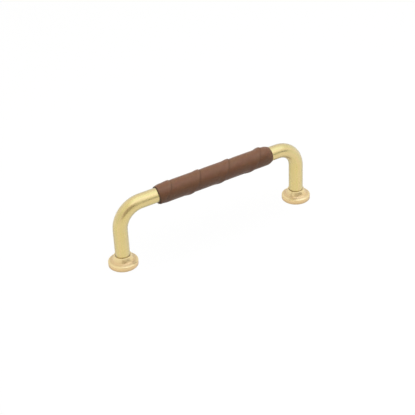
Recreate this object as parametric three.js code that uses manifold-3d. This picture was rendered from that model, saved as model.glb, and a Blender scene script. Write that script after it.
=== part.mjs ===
// A cabinet pull: a solid brass rod bent into a bow, the grip wound with one strip of leather,
// and each leg plugged into a turned brass foot. A screw from behind goes through each foot into
// the tapped end of its leg.
// Millimetres. +X runs along the grip, +Z away from the drawer front, and the origin lies midway
// between the feet on the mounting plane.

import * as THREE from "three";
import { mergeVertices } from "three/addons/utils/BufferGeometryUtils.js";
import Module from "manifold-3d";

// The rod
const HOLE_SPACING = 128; // between the two fixing screws
const ROD_DIAMETER = 9;
const GRIP_HEIGHT = 39.2; // from the mounting plane to the middle of the grip
const BEND_RADIUS = 14.6; // of the rod's centreline
const TAP_DRILL_DIAMETER = 3.3; // for an M4 thread
const TAP_DRILL_DEPTH = 12;
const TAP_MOUTH_CHAMFER = 0.5;
const DRILL_POINT_ANGLE = 118; // degrees

// The turned feet
const FOOT_DIAMETER = 18.2;
const FOOT_HEIGHT = 7.2;
const FOOT_WEB = 2; // the floor that the leg stands on
const FOOT_EDGE_CHAMFER = 0.35;
const RIM_SIDE_HEIGHT = 2.2; // straight side of the rim, above the chamfer
const RIM_ROUND = 0.65;
const RIM_SLOPE = 24; // degrees, of the rim's top as it rises towards the leg
const COVE_DIAMETER = 14; // where the rim's top begins to turn up into the cove
const COVE_FLARE = 0.95; // from the collar out to the corner that the cove rounds off
const COLLAR_WALL = 0.75; // round the leg at the top of the foot
const COLLAR_LIP_ROUND = 0.35;
const LEG_CLEARANCE = 0.1; // round the leg in its seat
const SCREW_HOLE_DIAMETER = 4.5;

// The leather strip, wound left-handed with each turn's edge lapped over the next turn
const BARE_LEFT = 10.8; // bare rod between the left bend and the leather
const BARE_RIGHT = 6.3;
const STRIP_THICKNESS = 1.3;
const WINDING_PITCH = 21.3;
const LAP_WIDTH = 4; // how far one turn lies under its neighbour
const GLUE_LINE = 0.1;
const SEAM_GAP = 0.06; // between the lapped layers
const SEAM_THICKNESS = 1.15; // of the strip where it goes under its neighbour
const TUCKED_TIP_THICKNESS = 0.3; // pared edge under the lap
const LAP_EDGE_THICKNESS = 0.35; // pared edge on top of the lap
const LAP_CREST_SETBACK = 1.3; // from the lapping edge back to the highest line
const LAP_CREST_RISE = 0.11; // above the lapping edge
const LAP_RAMP = 1.5; // where the strip starts to climb on to its neighbour
const SEAM_START_ANGLE = 250; // degrees about +X from +Y, where the seam leaves the left end
const LEFT_END_THICKNESS = 0.6;
const LEFT_END_TAPER = 5;
const RIGHT_END_THICKNESS = 0.4;
const RIGHT_END_TAPER = 5;

// How finely the curves are stepped
const ROD_SIDES = 40;
const BEND_STEPS = 12;
const FOOT_SIDES = 48;
const FOOT_CURVE_STEPS = 6; // in the cove, and half of those in each arc of the foot's profile
const HOLE_SIDES = 20;
const STRIP_STEPS_PER_TURN = 40;
const TAPER_STEPS = 5;

const rodRadius = ROD_DIAMETER / 2;
const legX = HOLE_SPACING / 2;
const bendX = legX - BEND_RADIUS;
const bendZ = GRIP_HEIGHT - BEND_RADIUS;
const rodEndZ = FOOT_WEB;

const wasm = await Module();
wasm.setup();

function toSolid(geometry) {
  const bare = new THREE.BufferGeometry();
  bare.setAttribute("position", geometry.getAttribute("position"));
  bare.setIndex(geometry.index);
  const merged = mergeVertices(bare);
  return new wasm.Manifold(
    new wasm.Mesh({
      numProp: 3,
      vertProperties: merged.attributes.position.array,
      triVerts: new Uint32Array(merged.index.array),
    }),
  );
}

function toGeometry(solid) {
  const mesh = solid.getMesh();
  const indexed = new THREE.BufferGeometry();
  indexed.setAttribute("position", new THREE.BufferAttribute(mesh.vertProperties, 3));
  indexed.setIndex(new THREE.BufferAttribute(mesh.triVerts, 1));
  const geometry = indexed.toNonIndexed();
  geometry.computeVertexNormals();
  return geometry;
}

// The rod's centreline: up one leg, round a bend, along the grip and down again. Its stations are
// one for each step round the bends and one at each end, so that a straight stretch is one step.
class BowLine extends THREE.Curve {
  constructor() {
    super();
    const left = [new THREE.Vector3(-legX, 0, rodEndZ)];
    for (let i = 0; i <= BEND_STEPS; i++) {
      const turned = (i / BEND_STEPS) * (Math.PI / 2);
      const x = -bendX - BEND_RADIUS * Math.cos(turned);
      const z = bendZ + BEND_RADIUS * Math.sin(turned);
      left.push(new THREE.Vector3(x, 0, z));
    }
    const leftHeadings = left.map((_, i) => {
      const turned = (Math.max(i - 1, 0) / BEND_STEPS) * (Math.PI / 2);
      return new THREE.Vector3(Math.sin(turned), 0, Math.cos(turned));
    });
    const mirror = (v) => new THREE.Vector3(-v.x, v.y, v.z);
    const turnBack = (v) => new THREE.Vector3(v.x, v.y, -v.z);
    this.points = [...left, ...left.map(mirror).reverse()];
    this.headings = [...leftHeadings, ...leftHeadings.map(turnBack).reverse()];
    this.steps = this.points.length - 1;
  }

  getPointAt(u, target = new THREE.Vector3()) {
    return target.copy(this.points[Math.round(u * this.steps)]);
  }

  getTangentAt(u, target = new THREE.Vector3()) {
    return target.copy(this.headings[Math.round(u * this.steps)]);
  }
}

// The blind hole drilled up a leg, tapering to a drill point, with a chamfered mouth.
function tapHole(x) {
  const radius = TAP_DRILL_DIAMETER / 2;
  const pointLength = radius / Math.tan(THREE.MathUtils.degToRad(DRILL_POINT_ANGLE / 2));
  const overrun = 1;
  const mouth = radius + TAP_MOUTH_CHAMFER;
  const profile = [
    new THREE.Vector2(0, -overrun),
    new THREE.Vector2(mouth, -overrun),
    new THREE.Vector2(mouth, 0),
    new THREE.Vector2(radius, TAP_MOUTH_CHAMFER),
    new THREE.Vector2(radius, TAP_DRILL_DEPTH),
    new THREE.Vector2(0, TAP_DRILL_DEPTH + pointLength),
  ];
  const cutter = new THREE.LatheGeometry(profile, HOLE_SIDES);
  cutter.rotateX(Math.PI / 2);
  cutter.translate(x, 0, rodEndZ);
  return toSolid(cutter);
}

function rodGeometry() {
  const section = new THREE.Shape();
  section.absarc(0, 0, rodRadius, 0, Math.PI * 2);
  const line = new BowLine();
  const bow = new THREE.ExtrudeGeometry(section, {
    steps: line.steps,
    curveSegments: ROD_SIDES / 2,
    extrudePath: line,
    bevelEnabled: false,
  });
  const drilled = toSolid(bow).subtract(tapHole(-legX)).subtract(tapHole(legX));
  return toGeometry(drilled);
}

// One turned foot, on the axis of its leg: a rim with a rounded edge and a sloping top, a cove up to
// a thin collar, a seat for the leg from above and a screw hole through the web.
function footGeometry() {
  const footRadius = FOOT_DIAMETER / 2;
  const seatRadius = rodRadius + LEG_CLEARANCE;
  const collarRadius = seatRadius + COLLAR_WALL;
  const screwRadius = SCREW_HOLE_DIAMETER / 2;
  const sideTop = FOOT_EDGE_CHAMFER + RIM_SIDE_HEIGHT;
  const slope = THREE.MathUtils.degToRad(RIM_SLOPE);
  const roundRadius = footRadius - RIM_ROUND;
  const slopeRadius = roundRadius + RIM_ROUND * Math.sin(slope);
  const rimTop = (radius) => {
    return sideTop + RIM_ROUND * Math.cos(slope) + (slopeRadius - radius) * Math.tan(slope);
  };
  const coveRadius = COVE_DIAMETER / 2;
  const cornerRadius = collarRadius + COVE_FLARE;
  const coveTop = FOOT_HEIGHT - COLLAR_LIP_ROUND;
  const lipRadius = collarRadius - COLLAR_LIP_ROUND;

  const profile = new THREE.Path();
  profile.moveTo(screwRadius, 0);
  profile.lineTo(footRadius - FOOT_EDGE_CHAMFER, 0);
  profile.lineTo(footRadius, FOOT_EDGE_CHAMFER);
  profile.lineTo(footRadius, sideTop);
  profile.absarc(roundRadius, sideTop, RIM_ROUND, 0, Math.PI / 2 - slope);
  profile.lineTo(coveRadius, rimTop(coveRadius));
  profile.quadraticCurveTo(cornerRadius, rimTop(cornerRadius), collarRadius, coveTop);
  profile.absarc(lipRadius, coveTop, COLLAR_LIP_ROUND, 0, Math.PI / 2);
  profile.lineTo(seatRadius, FOOT_HEIGHT);
  profile.lineTo(seatRadius, FOOT_WEB);
  profile.lineTo(screwRadius, FOOT_WEB);
  profile.lineTo(screwRadius, 0);
  const turned = new THREE.LatheGeometry(profile.getPoints(FOOT_CURVE_STEPS), FOOT_SIDES);
  turned.rotateX(Math.PI / 2);
  return turned;
}

// The strip's section where it lies on the rod: x runs along the rod from the lapping edge at 0
// back to the tucked edge, and y is the distance from the rod's axis.
function stripSection() {
  const inner = rodRadius + GLUE_LINE;
  const outer = inner + STRIP_THICKNESS;
  const tuckedTip = inner + TUCKED_TIP_THICKNESS;
  const seam = inner + SEAM_THICKNESS;
  const lapEdge = seam + SEAM_GAP + LAP_EDGE_THICKNESS;
  const rampStart = -LAP_WIDTH - LAP_RAMP;
  const section = new THREE.Shape();
  section.moveTo(-WINDING_PITCH - LAP_WIDTH, inner);
  section.lineTo(rampStart, inner);
  section.lineTo(-LAP_WIDTH, tuckedTip + SEAM_GAP);
  section.lineTo(0, seam + SEAM_GAP);
  section.lineTo(0, lapEdge);
  section.lineTo(-LAP_CREST_SETBACK, lapEdge + LAP_CREST_RISE);
  section.lineTo(rampStart, outer);
  section.lineTo(-WINDING_PITCH + LAP_WIDTH, outer);
  section.lineTo(-WINDING_PITCH, seam);
  section.lineTo(-WINDING_PITCH - LAP_WIDTH, tuckedTip);
  section.closePath();
  return section;
}

// The space that the finished leather fills, pared down towards the rod at both ends. Its facets
// line up with the strip's.
function wrapEnvelope(left, right, seamStart) {
  const inner = rodRadius + GLUE_LINE;
  const full = inner + STRIP_THICKNESS + SEAM_THICKNESS;
  const crown = inner + STRIP_THICKNESS + LAP_EDGE_THICKNESS;
  const taper = (x, thickness, inward) => {
    const start = new THREE.Vector2(inner + thickness, x);
    const knee = new THREE.Vector2(inner + (STRIP_THICKNESS + thickness) / 2, x + inward / 4);
    const end = new THREE.Vector2(crown, x + inward);
    return new THREE.QuadraticBezierCurve(start, knee, end).getPoints(TAPER_STEPS);
  };
  const profile = [
    new THREE.Vector2(0, left),
    ...taper(left, LEFT_END_THICKNESS, LEFT_END_TAPER),
    new THREE.Vector2(full, left + LEFT_END_TAPER),
    new THREE.Vector2(full, right - RIGHT_END_TAPER),
    ...taper(right, RIGHT_END_THICKNESS, -RIGHT_END_TAPER).reverse(),
    new THREE.Vector2(0, right),
  ];
  const envelope = new THREE.LatheGeometry(profile, STRIP_STEPS_PER_TURN);
  envelope.rotateZ(-Math.PI / 2);
  envelope.rotateX(seamStart - Math.PI / 2);
  envelope.translate(0, 0, GRIP_HEIGHT);
  return toSolid(envelope);
}

// The strip is extruded straight, one unit of depth for each turn, then wound on to the grip from
// right to left and trimmed at both ends.
function wrapGeometry() {
  const left = -bendX + BARE_LEFT;
  const right = bendX - BARE_RIGHT;
  const wound = right - left + WINDING_PITCH + LAP_WIDTH;
  const steps = Math.ceil((wound / WINDING_PITCH) * STRIP_STEPS_PER_TURN);
  const turns = steps / STRIP_STEPS_PER_TURN;
  const strip = new THREE.ExtrudeGeometry(stripSection(), {
    depth: turns,
    steps,
    bevelEnabled: false,
  });
  const seamStart = THREE.MathUtils.degToRad(SEAM_START_ANGLE);
  const place = strip.getAttribute("position");
  for (let i = 0; i < place.count; i++) {
    const turnsFromLeft = turns - place.getZ(i);
    const angle = seamStart - turnsFromLeft * Math.PI * 2;
    const radius = place.getY(i);
    const x = left + place.getX(i) + turnsFromLeft * WINDING_PITCH;
    place.setXYZ(i, x, radius * Math.cos(angle), GRIP_HEIGHT + radius * Math.sin(angle));
  }
  return toGeometry(toSolid(strip).intersect(wrapEnvelope(left, right, seamStart)));
}

const rodBrass = new THREE.MeshStandardMaterial({ color: 0xdcc483, metalness: 1, roughness: 0.32 });
const footBrass = new THREE.MeshStandardMaterial({ color: 0xe0b67e, metalness: 1, roughness: 0.25 });
const brownLeather = new THREE.MeshStandardMaterial({ color: 0x77503d, metalness: 0, roughness: 0.6 });

function piece(name, geometry, material) {
  const mesh = new THREE.Mesh(geometry, material);
  mesh.name = name;
  return mesh;
}

const pull = new THREE.Group();
pull.add(piece("handle_rod", rodGeometry(), rodBrass));
for (const [side, x] of [
  ["left", -legX],
  ["right", legX],
]) {
  const foot = piece(`${side}_foot`, footGeometry(), footBrass);
  foot.position.x = x;
  pull.add(foot);
}
pull.add(piece("leather_wrap", wrapGeometry(), brownLeather));

export default pull;
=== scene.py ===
"""Dresses a bar pull: a bent brass rod, two turned brass feet and a strip of leather wound round the grip.

Lengths are in metres, in the part's own frame: +X runs along the grip and +Z away from the drawer front.
"""

import logging
import math
from dataclasses import dataclass, field, fields
from enum import Enum
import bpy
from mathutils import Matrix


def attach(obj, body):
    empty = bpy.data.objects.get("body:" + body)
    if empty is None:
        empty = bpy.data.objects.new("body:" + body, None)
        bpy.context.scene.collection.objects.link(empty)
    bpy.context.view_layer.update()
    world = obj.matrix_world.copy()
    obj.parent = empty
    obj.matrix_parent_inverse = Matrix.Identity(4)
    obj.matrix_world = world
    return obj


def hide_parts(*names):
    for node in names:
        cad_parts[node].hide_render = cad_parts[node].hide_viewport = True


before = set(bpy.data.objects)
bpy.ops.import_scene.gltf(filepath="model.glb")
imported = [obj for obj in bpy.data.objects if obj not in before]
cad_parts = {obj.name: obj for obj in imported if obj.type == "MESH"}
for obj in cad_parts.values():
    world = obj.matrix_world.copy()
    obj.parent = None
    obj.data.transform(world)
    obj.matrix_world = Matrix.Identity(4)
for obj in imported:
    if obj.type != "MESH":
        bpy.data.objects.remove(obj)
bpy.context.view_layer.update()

from types import SimpleNamespace

import bmesh
import bpy
import numpy as np
from mathutils import Matrix, Vector

MM = 0.001
CLOSE = 1e-9
BODY = "root"
WORKED_PLACE = "worked_place"
WORKED_MAP = "worked_map"
GRIME_AND_SHADE = "grime_and_shade"
WORN = "worn"
SHARP_ANGLE = math.radians(35)
WHITE = (1.0, 1.0, 1.0, 1.0)

log = logging.getLogger("bar_pull")

Colour = tuple[float, float, float]
Tree = bpy.types.NodeTree
Socket = bpy.types.NodeSocket
Node = bpy.types.Node


class Working(Enum):
    """How a brass surface was worked, which sets the way that its fine lines run."""

    DRAWN = "drawn and brushed along its length"
    TURNED = "turned round its axis"


class Side(Enum):
    """The two ends of the pull, by the sign of their place on X."""

    LEFT = -1
    RIGHT = 1


class Ray(Enum):
    """The kinds of ray for which a backdrop is plain white, by the name of their Light Path output."""

    CAMERA = "Is Camera Ray"
    GLOSSY = "Is Glossy Ray"
    TRANSMISSION = "Is Transmission Ray"


@dataclass(frozen=True)
class Term:
    """A number worked out by nodes, so that a formula in the script reads as it does on paper."""

    tree: Tree
    socket: Socket

    def maths(self, operation: str, *others: "Term | float") -> "Term":
        """Adds one Math node.

        Args:
            operation: the Math node's operation.
            others: the node's second and third values, where it has them.

        Returns:
            The node's result.
        """
        node = self.tree.nodes.new("ShaderNodeMath")
        node.operation = operation
        for socket, value in zip(node.inputs, (self, *others)):
            feed(self.tree, socket, value)
        return Term(self.tree, node.outputs[0])

    def ramp(self, low: "Term | float", high: "Term | float", start: "Term | float", end: "Term | float",
             eased: bool = True) -> "Term":
        """Carries this number from one range to another, and holds it at the range's ends.

        Args:
            low: where the result is start.
            high: where the result is end.
            start: the result at and before low.
            end: the result at and after high.
            eased: True for a smooth step, False for a straight line.

        Returns:
            The carried number.
        """
        node = self.tree.nodes.new("ShaderNodeMapRange")
        node.interpolation_type = "SMOOTHSTEP" if eased else "LINEAR"
        for socket, value in zip(node.inputs, (self, low, high, start, end)):
            feed(self.tree, socket, value)
        return Term(self.tree, node.outputs[0])

    def __add__(self, other: "Term | float") -> "Term":
        """The sum."""
        return self.maths("ADD", other)

    def __sub__(self, other: "Term | float") -> "Term":
        """The difference."""
        return self.maths("SUBTRACT", other)

    def __mul__(self, other: "Term | float") -> "Term":
        """The product."""
        return self.maths("MULTIPLY", other)

    def __truediv__(self, other: "Term | float") -> "Term":
        """The quotient."""
        return self.maths("DIVIDE", other)

    def __neg__(self) -> "Term":
        """The same number with the other sign."""
        return self.maths("MULTIPLY", -1.0)


def feed(tree: Tree, socket: Socket, value: object) -> None:
    """Gives a node's input its value.

    Args:
        tree: the tree that holds the node.
        socket: the input.
        value: a Term or a socket, which is linked, or a plain value, which is set.
    """
    if isinstance(value, Term):
        tree.links.new(value.socket, socket)
    elif isinstance(value, Socket):
        tree.links.new(value, socket)
    else:
        socket.default_value = value


def feed_all(tree: Tree, node: Node, values: dict[str, object]) -> None:
    """Gives a node's inputs their values, by the inputs' names."""
    for name, value in values.items():
        feed(tree, node.inputs[name], value)


def add_node(tree: Tree, kind: str, inputs: dict[str, object] | None = None, **settings: object) -> Node:
    """Adds a node, sets its properties and feeds its inputs.

    Args:
        tree: the tree that gets the node.
        kind: the node's type name.
        inputs: the values of its inputs, by the inputs' names.
        settings: the values of its own properties.

    Returns:
        The new node.
    """
    node = tree.nodes.new(kind)
    for name, value in settings.items():
        setattr(node, name, value)
    feed_all(tree, node, inputs or {})
    return node


def vector_of(tree: Tree, x: object, y: object, z: object) -> Socket:
    """A vector with these three parts."""
    return add_node(tree, "ShaderNodeCombineXYZ", {"X": x, "Y": y, "Z": z}).outputs[0]


def parts_of(tree: Tree, vector: Socket) -> tuple[Term, Term, Term]:
    """Takes a vector apart.

    Args:
        tree: the tree that gets the node.
        vector: the vector.

    Returns:
        Its three parts.
    """
    node = add_node(tree, "ShaderNodeSeparateXYZ", {"Vector": vector})
    x, y, z = (Term(tree, output) for output in node.outputs)
    return x, y, z


def noise_in(tree: Tree, place: Socket, scale: object, detail: float, roughness: float = 0.5) -> Term:
    """Cloudy values from 0 to 1 over a place, at so many patches for each unit of it."""
    inputs = {"Vector": place, "Scale": scale, "Detail": detail, "Roughness": roughness}
    return Term(tree, add_node(tree, "ShaderNodeTexNoise", inputs).outputs[0])


def mask_in(tree: Tree, name: str) -> Term:
    """The value from 0 to 1 that a mesh carries at each point under this name."""
    return Term(tree, add_node(tree, "ShaderNodeAttribute", attribute_name=name).outputs["Fac"])


def place_on(tree: Tree, name: str) -> Socket:
    """The place that a mesh carries at each point under this name."""
    return add_node(tree, "ShaderNodeAttribute", attribute_name=name).outputs["Vector"]


class EffectGroup:
    """A shader effect that materials share: a node group with named inputs and outputs, built once."""

    name: str = ""
    takes: dict[str, str] = {}
    gives: dict[str, str] = {}

    def group(self) -> Tree:
        """Builds the effect's node group when it is first asked for.

        Returns:
            The node group.
        """
        made = bpy.data.node_groups.get(self.name)
        if made:
            return made
        tree = bpy.data.node_groups.new(self.name, "ShaderNodeTree")
        for name, kind in self.takes.items():
            tree.interface.new_socket(name=name, in_out="INPUT", socket_type=kind)
        for name, kind in self.gives.items():
            tree.interface.new_socket(name=name, in_out="OUTPUT", socket_type=kind)
        taken = tree.nodes.new("NodeGroupInput")
        given = tree.nodes.new("NodeGroupOutput")
        feed_all(tree, given, self.work(tree, dict(taken.outputs.items())))
        return tree

    def work(self, tree: Tree, taken: dict[str, Socket]) -> dict[str, object]:
        """Adds the effect's own nodes.

        Args:
            tree: the effect's node group.
            taken: the group's inputs, by name.

        Returns:
            What each of the group's outputs is fed, by name.
        """
        raise NotImplementedError

    def place_in(self, tree: Tree, **values: object) -> dict[str, Socket]:
        """Puts the effect into a material.

        Args:
            tree: the material's node tree.
            values: the values of the effect's inputs, with _ for each space in a name.

        Returns:
            The effect's outputs, by name.
        """
        inputs = {name.replace("_", " "): value for name, value in values.items()}
        node = add_node(tree, "ShaderNodeGroup", inputs, node_tree=self.group())
        return dict(node.outputs.items())


class WorkedLines(EffectGroup):
    """Fine lines left by brushing or turning, and the broad faint streaks between them."""

    name = "worked_lines"
    takes = {"Place": "NodeSocketVector", "Round Scale": "NodeSocketFloat", "Along Scale": "NodeSocketFloat",
             "Streak Share": "NodeSocketFloat"}
    gives = {"Lines": "NodeSocketFloat", "Streaks": "NodeSocketFloat"}
    LINE_DETAIL = 3.0
    LINE_ROUGHNESS = 0.65
    STREAK_DETAIL = 1.0
    STREAK_FROM = 0.3
    STREAK_TO = 0.7

    def work(self, tree: Tree, taken: dict[str, Socket]) -> dict[str, object]:
        """Stretches noise along the lines: once at the lines' own scale, and once at the streaks'.

        Args:
            tree: the effect's node group.
            taken: the group's inputs, by name.

        Returns:
            The lines and the streaks, by output.
        """
        x, y, z = parts_of(tree, taken["Place"])
        around, along = Term(tree, taken["Round Scale"]), Term(tree, taken["Along Scale"])
        stretched = vector_of(tree, x * around, y * around, z * along)
        lines = noise_in(tree, stretched, 1.0, self.LINE_DETAIL, self.LINE_ROUGHNESS)
        streaks = noise_in(tree, stretched, taken["Streak Share"], self.STREAK_DETAIL)
        return {"Lines": lines, "Streaks": streaks.ramp(self.STREAK_FROM, self.STREAK_TO, 0.0, 1.0)}


class Mottling(EffectGroup):
    """Cloudy patches of two sizes, for metal that has begun to tone and for a hide's uneven dye."""

    name = "mottling"
    takes = {"Place": "NodeSocketVector", "Patch Scale": "NodeSocketFloat", "Contrast": "NodeSocketFloat"}
    gives = {"Patches": "NodeSocketFloat", "Specks": "NodeSocketFloat"}
    PATCH_DETAIL = 2.0
    SPECK_SHARE = 6.5
    SPECK_DETAIL = 3.0
    SPECK_ROUGHNESS = 0.6

    def work(self, tree: Tree, taken: dict[str, Socket]) -> dict[str, object]:
        """Spreads the noise about its middle by the contrast, for the patches and for the finer specks.

        Args:
            tree: the effect's node group.
            taken: the group's inputs, by name.

        Returns:
            The patches and the specks, by output.
        """
        scale, contrast = Term(tree, taken["Patch Scale"]), Term(tree, taken["Contrast"])
        patches = noise_in(tree, taken["Place"], scale, self.PATCH_DETAIL)
        specks = noise_in(tree, taken["Place"], scale * self.SPECK_SHARE, self.SPECK_DETAIL,
                          self.SPECK_ROUGHNESS)
        spread = [((value - 0.5) * contrast + 0.5).ramp(0.0, 1.0, 0.0, 1.0, eased=False)
                  for value in (patches, specks)]
        return {"Patches": spread[0], "Specks": spread[1]}


class HideGrain(EffectGroup):
    """The skin side of leather: rounded pebbles between fine creases, with hair pores.

    Its sizes are shares of a pebble's size.
    """

    name = "hide_grain"
    takes = {"Place": "NodeSocketVector", "Pebble Scale": "NodeSocketFloat"}
    gives = {"Height": "NodeSocketFloat", "Creases": "NodeSocketFloat", "Pores": "NodeSocketFloat"}
    DRIFT_SCALE = 0.8
    DRIFT_DETAIL = 2.0
    WANDER = 0.35
    CREASE_WIDTH = 0.28
    PORE_SCALE = 2.3
    PORE_FLOOR = 0.05
    PORE_RIM = 0.22
    FINE_SCALE = 5.0
    FINE_DETAIL = 3.0
    PEBBLE_HEIGHT = 0.7
    FINE_HEIGHT = 0.3
    PORE_DEPTH = 0.35

    def work(self, tree: Tree, taken: dict[str, Socket]) -> dict[str, object]:
        """Bends the place a little, so that no pebble is regular, and reads cells and their borders there.

        Args:
            tree: the effect's node group.
            taken: the group's inputs, by name.

        Returns:
            The height, the creases and the pores, by output.
        """
        scaled = add_node(tree, "ShaderNodeVectorMath", operation="SCALE",
                          inputs={"Vector": taken["Place"], "Scale": taken["Pebble Scale"]}).outputs[0]
        drift = add_node(tree, "ShaderNodeTexNoise", {"Vector": scaled, "Scale": self.DRIFT_SCALE,
                                                      "Detail": self.DRIFT_DETAIL})
        wander = add_node(tree, "ShaderNodeVectorMath", operation="SCALE",
                          inputs={"Vector": drift.outputs["Color"], "Scale": self.WANDER}).outputs[0]
        added = add_node(tree, "ShaderNodeVectorMath", operation="ADD")
        for socket, vector in zip(added.inputs, (scaled, wander)):
            feed(tree, socket, vector)
        bent = added.outputs[0]
        border = add_node(tree, "ShaderNodeTexVoronoi", {"Vector": bent, "Scale": 1.0},
                          feature="DISTANCE_TO_EDGE")
        pebble = Term(tree, border.outputs["Distance"]).ramp(0.0, self.CREASE_WIDTH, 0.0, 1.0)
        pores = add_node(tree, "ShaderNodeTexVoronoi", {"Vector": bent, "Scale": self.PORE_SCALE,
                                                        "Randomness": 1.0}, feature="F1")
        pore = Term(tree, pores.outputs["Distance"]).ramp(self.PORE_FLOOR, self.PORE_RIM, 1.0, 0.0)
        fine = noise_in(tree, bent, self.FINE_SCALE, self.FINE_DETAIL)
        height = pebble * self.PEBBLE_HEIGHT + fine * self.FINE_HEIGHT - pore * self.PORE_DEPTH
        return {"Height": height, "Creases": -pebble + 1.0, "Pores": pore}


def add_object(name: str, data: bpy.types.ID) -> bpy.types.Object:
    """Adds an object to the scene.

    Args:
        name: the object's name.
        data: its mesh, lamp or camera.

    Returns:
        The object, at the origin.
    """
    made = bpy.data.objects.new(name, data)
    bpy.context.scene.collection.objects.link(made)
    return made


def bare_tree(owner: bpy.types.Material | bpy.types.World) -> Tree:
    """Empties the node tree of a material or a world.

    Args:
        owner: the material or the world.

    Returns:
        Its tree, with no node in it.
    """
    owner.use_nodes = True
    owner.node_tree.nodes.clear()
    return owner.node_tree


def send_out(tree: Tree, shader: Node, kind: str = "ShaderNodeOutputMaterial") -> None:
    """Feeds a shader to an output node of this kind."""
    add_node(tree, kind, {"Surface": shader.outputs[0]})


def new_material(name: str) -> tuple[bpy.types.Material, Tree, Node]:
    """Makes a material with a Principled shader on its output.

    Args:
        name: the material's name.

    Returns:
        The material, its tree and the shader.
    """
    material = bpy.data.materials.new(name)
    tree = bare_tree(material)
    shader = tree.nodes.new("ShaderNodeBsdfPrincipled")
    send_out(tree, shader)
    return material, tree, shader


def blend_colours(tree: Tree, share: object, first: object, second: object) -> Socket:
    """Mixes two colours.

    Args:
        tree: the tree that gets the node.
        share: how much of the second, from 0 to 1.
        first: the colour at share 0, as a socket or as red, green and blue.
        second: the other colour.

    Returns:
        The mixed colour.
    """
    node = add_node(tree, "ShaderNodeMix", data_type="RGBA")
    feed(tree, node.inputs[0], share)
    for socket, colour in zip(node.inputs[6:8], (first, second)):
        feed(tree, socket, (*colour, 1.0) if isinstance(colour, tuple) else colour)
    return node.outputs[2]


def add_relief(tree: Tree, shader: Node, height: object, depth: float) -> None:
    """Gives a shader's surface a fine relief.

    Args:
        tree: the shader's tree.
        shader: the shader.
        height: the relief's height, about 0 to 1.
        depth: the length that a height of 1 stands for.
    """
    bump = add_node(tree, "ShaderNodeBump", {"Height": height, "Distance": depth, "Strength": 1.0})
    feed(tree, shader.inputs["Normal"], bump.outputs[0])


@dataclass(frozen=True)
class BrassFinish:
    """Bare brass with the lines of its working, faint streaks of tone, small rough patches and a dull haze.

    The constants say how strongly each effect shows in the tone, the roughness and the relief.
    """

    name: str
    working: Working
    tone: Colour
    warm_tone: Colour
    pale_tone: Colour
    grime_and_shade_tone: Colour
    edge_tint: Colour
    haze: float
    haze_tone: Colour
    roughness: float
    line_width: float
    line_length: float
    anisotropy: float
    streak_width: float
    patch_size: float
    relief: float = 0.003 * MM
    haze_spread: float = 0.6

    CONTRAST = 1.6
    STREAK_TONE = 0.7
    PATCH_TONE = 0.45
    WORN_TONE = 0.8
    GRIME_AND_SHADE_TONE = 0.4
    LINE_ROUGHNESS = 0.22
    PATCH_ROUGHNESS = 0.08
    SPECK_ROUGHNESS = 0.06
    GRIME_AND_SHADE_ROUGHNESS = 0.2
    WORN_ROUGHNESS = 0.09
    SPECK_RELIEF = 0.35
    QUARTER_TURN = 0.25

    def material(self) -> bpy.types.Material:
        """Makes the finish as a material when it is first asked for. Its pieces carry their worked place.

        Returns:
            The material.
        """
        made = bpy.data.materials.get(self.name)
        if made:
            return made
        material, tree, shader = new_material(self.name)
        fine, coarse = 1 / self.line_width, 1 / self.line_length
        drawn = self.working is Working.DRAWN
        lines = WorkedLines().place_in(tree, Place=place_on(tree, WORKED_PLACE),
                                       Round_Scale=fine if drawn else coarse,
                                       Along_Scale=coarse if drawn else fine,
                                       Streak_Share=self.line_width / self.streak_width)
        own = add_node(tree, "ShaderNodeTexCoord").outputs["Object"]
        mottling = Mottling().place_in(tree, Place=own, Patch_Scale=1 / self.patch_size,
                                       Contrast=self.CONTRAST)
        grooves, streaks = Term(tree, lines["Lines"]), Term(tree, lines["Streaks"])
        patches, specks = Term(tree, mottling["Patches"]), Term(tree, mottling["Specks"])
        worn, grime_and_shade = mask_in(tree, WORN), mask_in(tree, GRIME_AND_SHADE)

        toned = blend_colours(tree, streaks * self.STREAK_TONE, self.tone, self.warm_tone)
        toned = blend_colours(tree, patches * self.PATCH_TONE, toned, self.pale_tone)
        toned = blend_colours(tree, worn * self.WORN_TONE, toned, self.pale_tone)
        # Tarnish and painted shade: the mask darkens the tone at the rod's joint with the foot and inside
        # the seats. At the feet's base edges and slopes it is painted shade only.
        toned = blend_colours(tree, grime_and_shade * self.GRIME_AND_SHADE_TONE, toned, self.grime_and_shade_tone)
        rough = ((grooves - 0.5) * self.LINE_ROUGHNESS + (patches - 0.5) * self.PATCH_ROUGHNESS
                 + (specks - 0.5) * self.SPECK_ROUGHNESS + grime_and_shade * self.GRIME_AND_SHADE_ROUGHNESS
                 - worn * self.WORN_ROUGHNESS + self.roughness)
        tangent = add_node(tree, "ShaderNodeTangent", direction_type="UV_MAP", uv_map=WORKED_MAP)
        feed_all(tree, shader, {"Base Color": toned,
                                "Metallic": 1.0,
                                "Roughness": rough,
                                "Specular Tint": (*self.edge_tint, 1.0),
                                "Sheen Weight": self.haze,
                                "Sheen Roughness": self.haze_spread,
                                "Sheen Tint": (*self.haze_tone, 1.0),
                                "Anisotropic": self.anisotropy,
                                "Anisotropic Rotation": 0.0 if drawn else self.QUARTER_TURN,
                                "Tangent": tangent.outputs[0]})
        add_relief(tree, shader, grooves + specks * self.SPECK_RELIEF, self.relief)
        return material


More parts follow.
